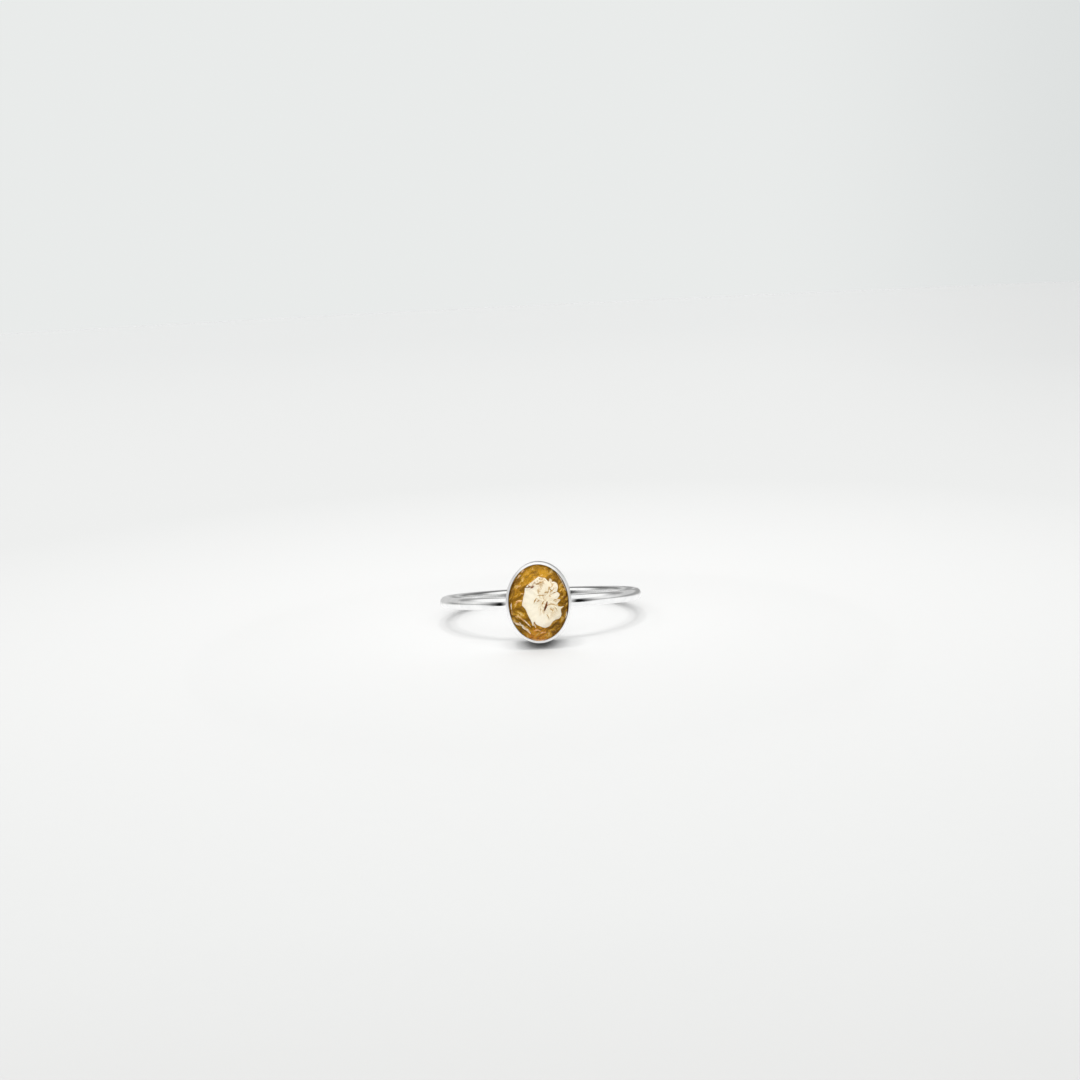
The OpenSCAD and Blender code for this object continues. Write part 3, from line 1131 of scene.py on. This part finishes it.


# Inclusions, and some painted glints, flares and shade by the rim, as width and points on the face, in
# hundredths of a millimetre
PALE_LINES = (
    (20, ((-234, -156), (-204, -175), (-181, -185), (-160, -193))),
    (24, ((-164, -186), (-146, -198), (-140, -213), (-106, -237), (-81, -272))),
    (10, ((-140, -137), (-112, -170), (-75, -212))),
    (9, ((-178, -162), (-166, -180), (-160, -202))),
    (8, ((-47, -180), (-40, -200), (-32, -222))),
    (10, ((-238, 12), (-243, -21), (-240, -53))),
    # Painted reflection: the cream line of the girdle and crown facets along the top right rim
    (9, ((158, 276), (198, 215), (226, 155), (248, 92))),
    # Painted highlight: the pink-white glint at the right low rim
    (11, ((244, -90), (240, -122), (229, -152))),
)
# Painted glints and flares, drawn as blades: the peach glints of crown facet edges near the left rim and top
# left, and the orange flares along the foot
PEACH_GLINTS = (
    (19, ((-202, -3), (-187, 17), (-166, 24), (-144, 28))),
    (18, ((-177, 223), (-162, 242), (-144, 253))),
    (15, ((-142, 268), (-128, 284), (-108, 297))),
    (9, ((-212, -112), (-172, -120), (-130, -160))),
    (8, ((-236, -60), (-239, -80), (-236, -100))),
    (16, ((-87, -314), (-40, -328), (4, -333), (60, -326))),
    (10, ((134, -292), (156, -280), (176, -260))),
    (13, ((-52, -245), (-20, -238), (10, -250))),
    (12, ((5, -272), (30, -262), (58, -268))),
    (7, ((-190, 130), (-172, 152), (-144, 162))),
    (6, ((-150, 92), (-138, 86), (-130, 92))),
)
GOLD_LINES = (
    (11, ((52, 85), (75, 93), (100, 94))),
    (7, ((-10, 65), (29, 66), (66, 67))),
    (10, ((-44, -3), (-30, 22), (-12, 47))),
    (9, ((-15, 7), (-1, 18), (12, 30))),
    (10, ((25, -19), (37, -4), (48, 16))),
    (9, ((105, 127), (115, 109), (134, 96))),
    (8, ((90, 106), (98, 123), (107, 140))),
    (9, ((0, 166), (22, 179), (48, 186))),
    (7, ((-20, 162), (-3, 166), (15, 163))),
    (7, ((130, 10), (145, 22), (162, 27))),
    (7, ((122, 72), (142, 84), (162, 89))),
    (6, ((100, -50), (120, -72), (128, -98))),
    (6, ((135, -35), (155, -60), (160, -85))),
    (6, ((62, -100), (80, -122), (86, -145))),
)
DARK_LINES = (
    (20, ((79, 15), (70, -18), (60, -45), (47, -78))),
    (8, ((-110, 142), (-72, 144), (-30, 151))),
    (15, ((-64, 144), (-50, 141), (-34, 147))),
    (10, ((220, 44), (232, 40), (246, 41))),
    # Painted shade: the dark line along the stone's right low rim
    (13, ((253, -62), (250, -110), (238, -162), (220, -200))),
    # Painted shadow: the dark gap between the lip and the stone along the top right rim
    (10, ((150, 298), (195, 242), (232, 175), (256, 100))),
)


place_camera()
lay_floor()
light_studio()
hang_room()

polish = polish_group()
band = make_band(silver_material("polished_wire_silver", polish))
bezel = make_bezel(silver_material(
    "burnished_bezel_silver",
    polish,
    satin=0.3,
    Dull_Silver=(0.94, 0.945, 0.94, 1),
    Gloss=0.04,
    Dullness=0.1,
    Patch_Scale=1300.0,
))
for piece, low, high, strength in ((band, 0.0004, 0.0018, 1.6), (bezel, 0.0003, 0.0016, 1.85)):
    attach(piece, "root")
    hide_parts("band_and_bezel")
    throw_light(piece.name + "_light", piece, low, high, strength)

inclusions_and_painted_light = inclusion_and_painted_light_tree()
inside = [make_cloud(cloud_material()), make_veil(veil_material())]
for name, material_name, pale, deep, depth, slenderness, lines in (
    ("pale_feathers_and_glints", "pale_quartz_and_glints", CREAM, (0.85, 0.66, 0.42, 1), 0.11, 0.8, PALE_LINES),
    # The peach blades are painted glints and flares
    ("peach_glints", "peach_glint", (0.88, 0.64, 0.38, 1), (0.78, 0.42, 0.14, 1), 0.10, 0.8, PEACH_GLINTS),
    ("golden_marks", "golden_stain", (0.36, 0.20, 0.03, 1), (0.60, 0.40, 0.12, 1), 0.135, 1.3, GOLD_LINES),
    ("dark_needles_and_shade", "iron_needle_and_shade", (0.12, 0.035, 0.008, 1), (0.24, 0.085, 0.015, 1), 0.125, 0.9, DARK_LINES),
):
    material = inclusion_and_painted_light_material(material_name, pale, deep)
    inside.append(make_inclusions_and_painted_light(name, inclusions_and_painted_light, material, depth, slenderness, lines))
stone = make_citrine(citrine_material())
for piece in [stone] + inside:
    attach(piece, "root")
    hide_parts("citrine")

low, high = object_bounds()
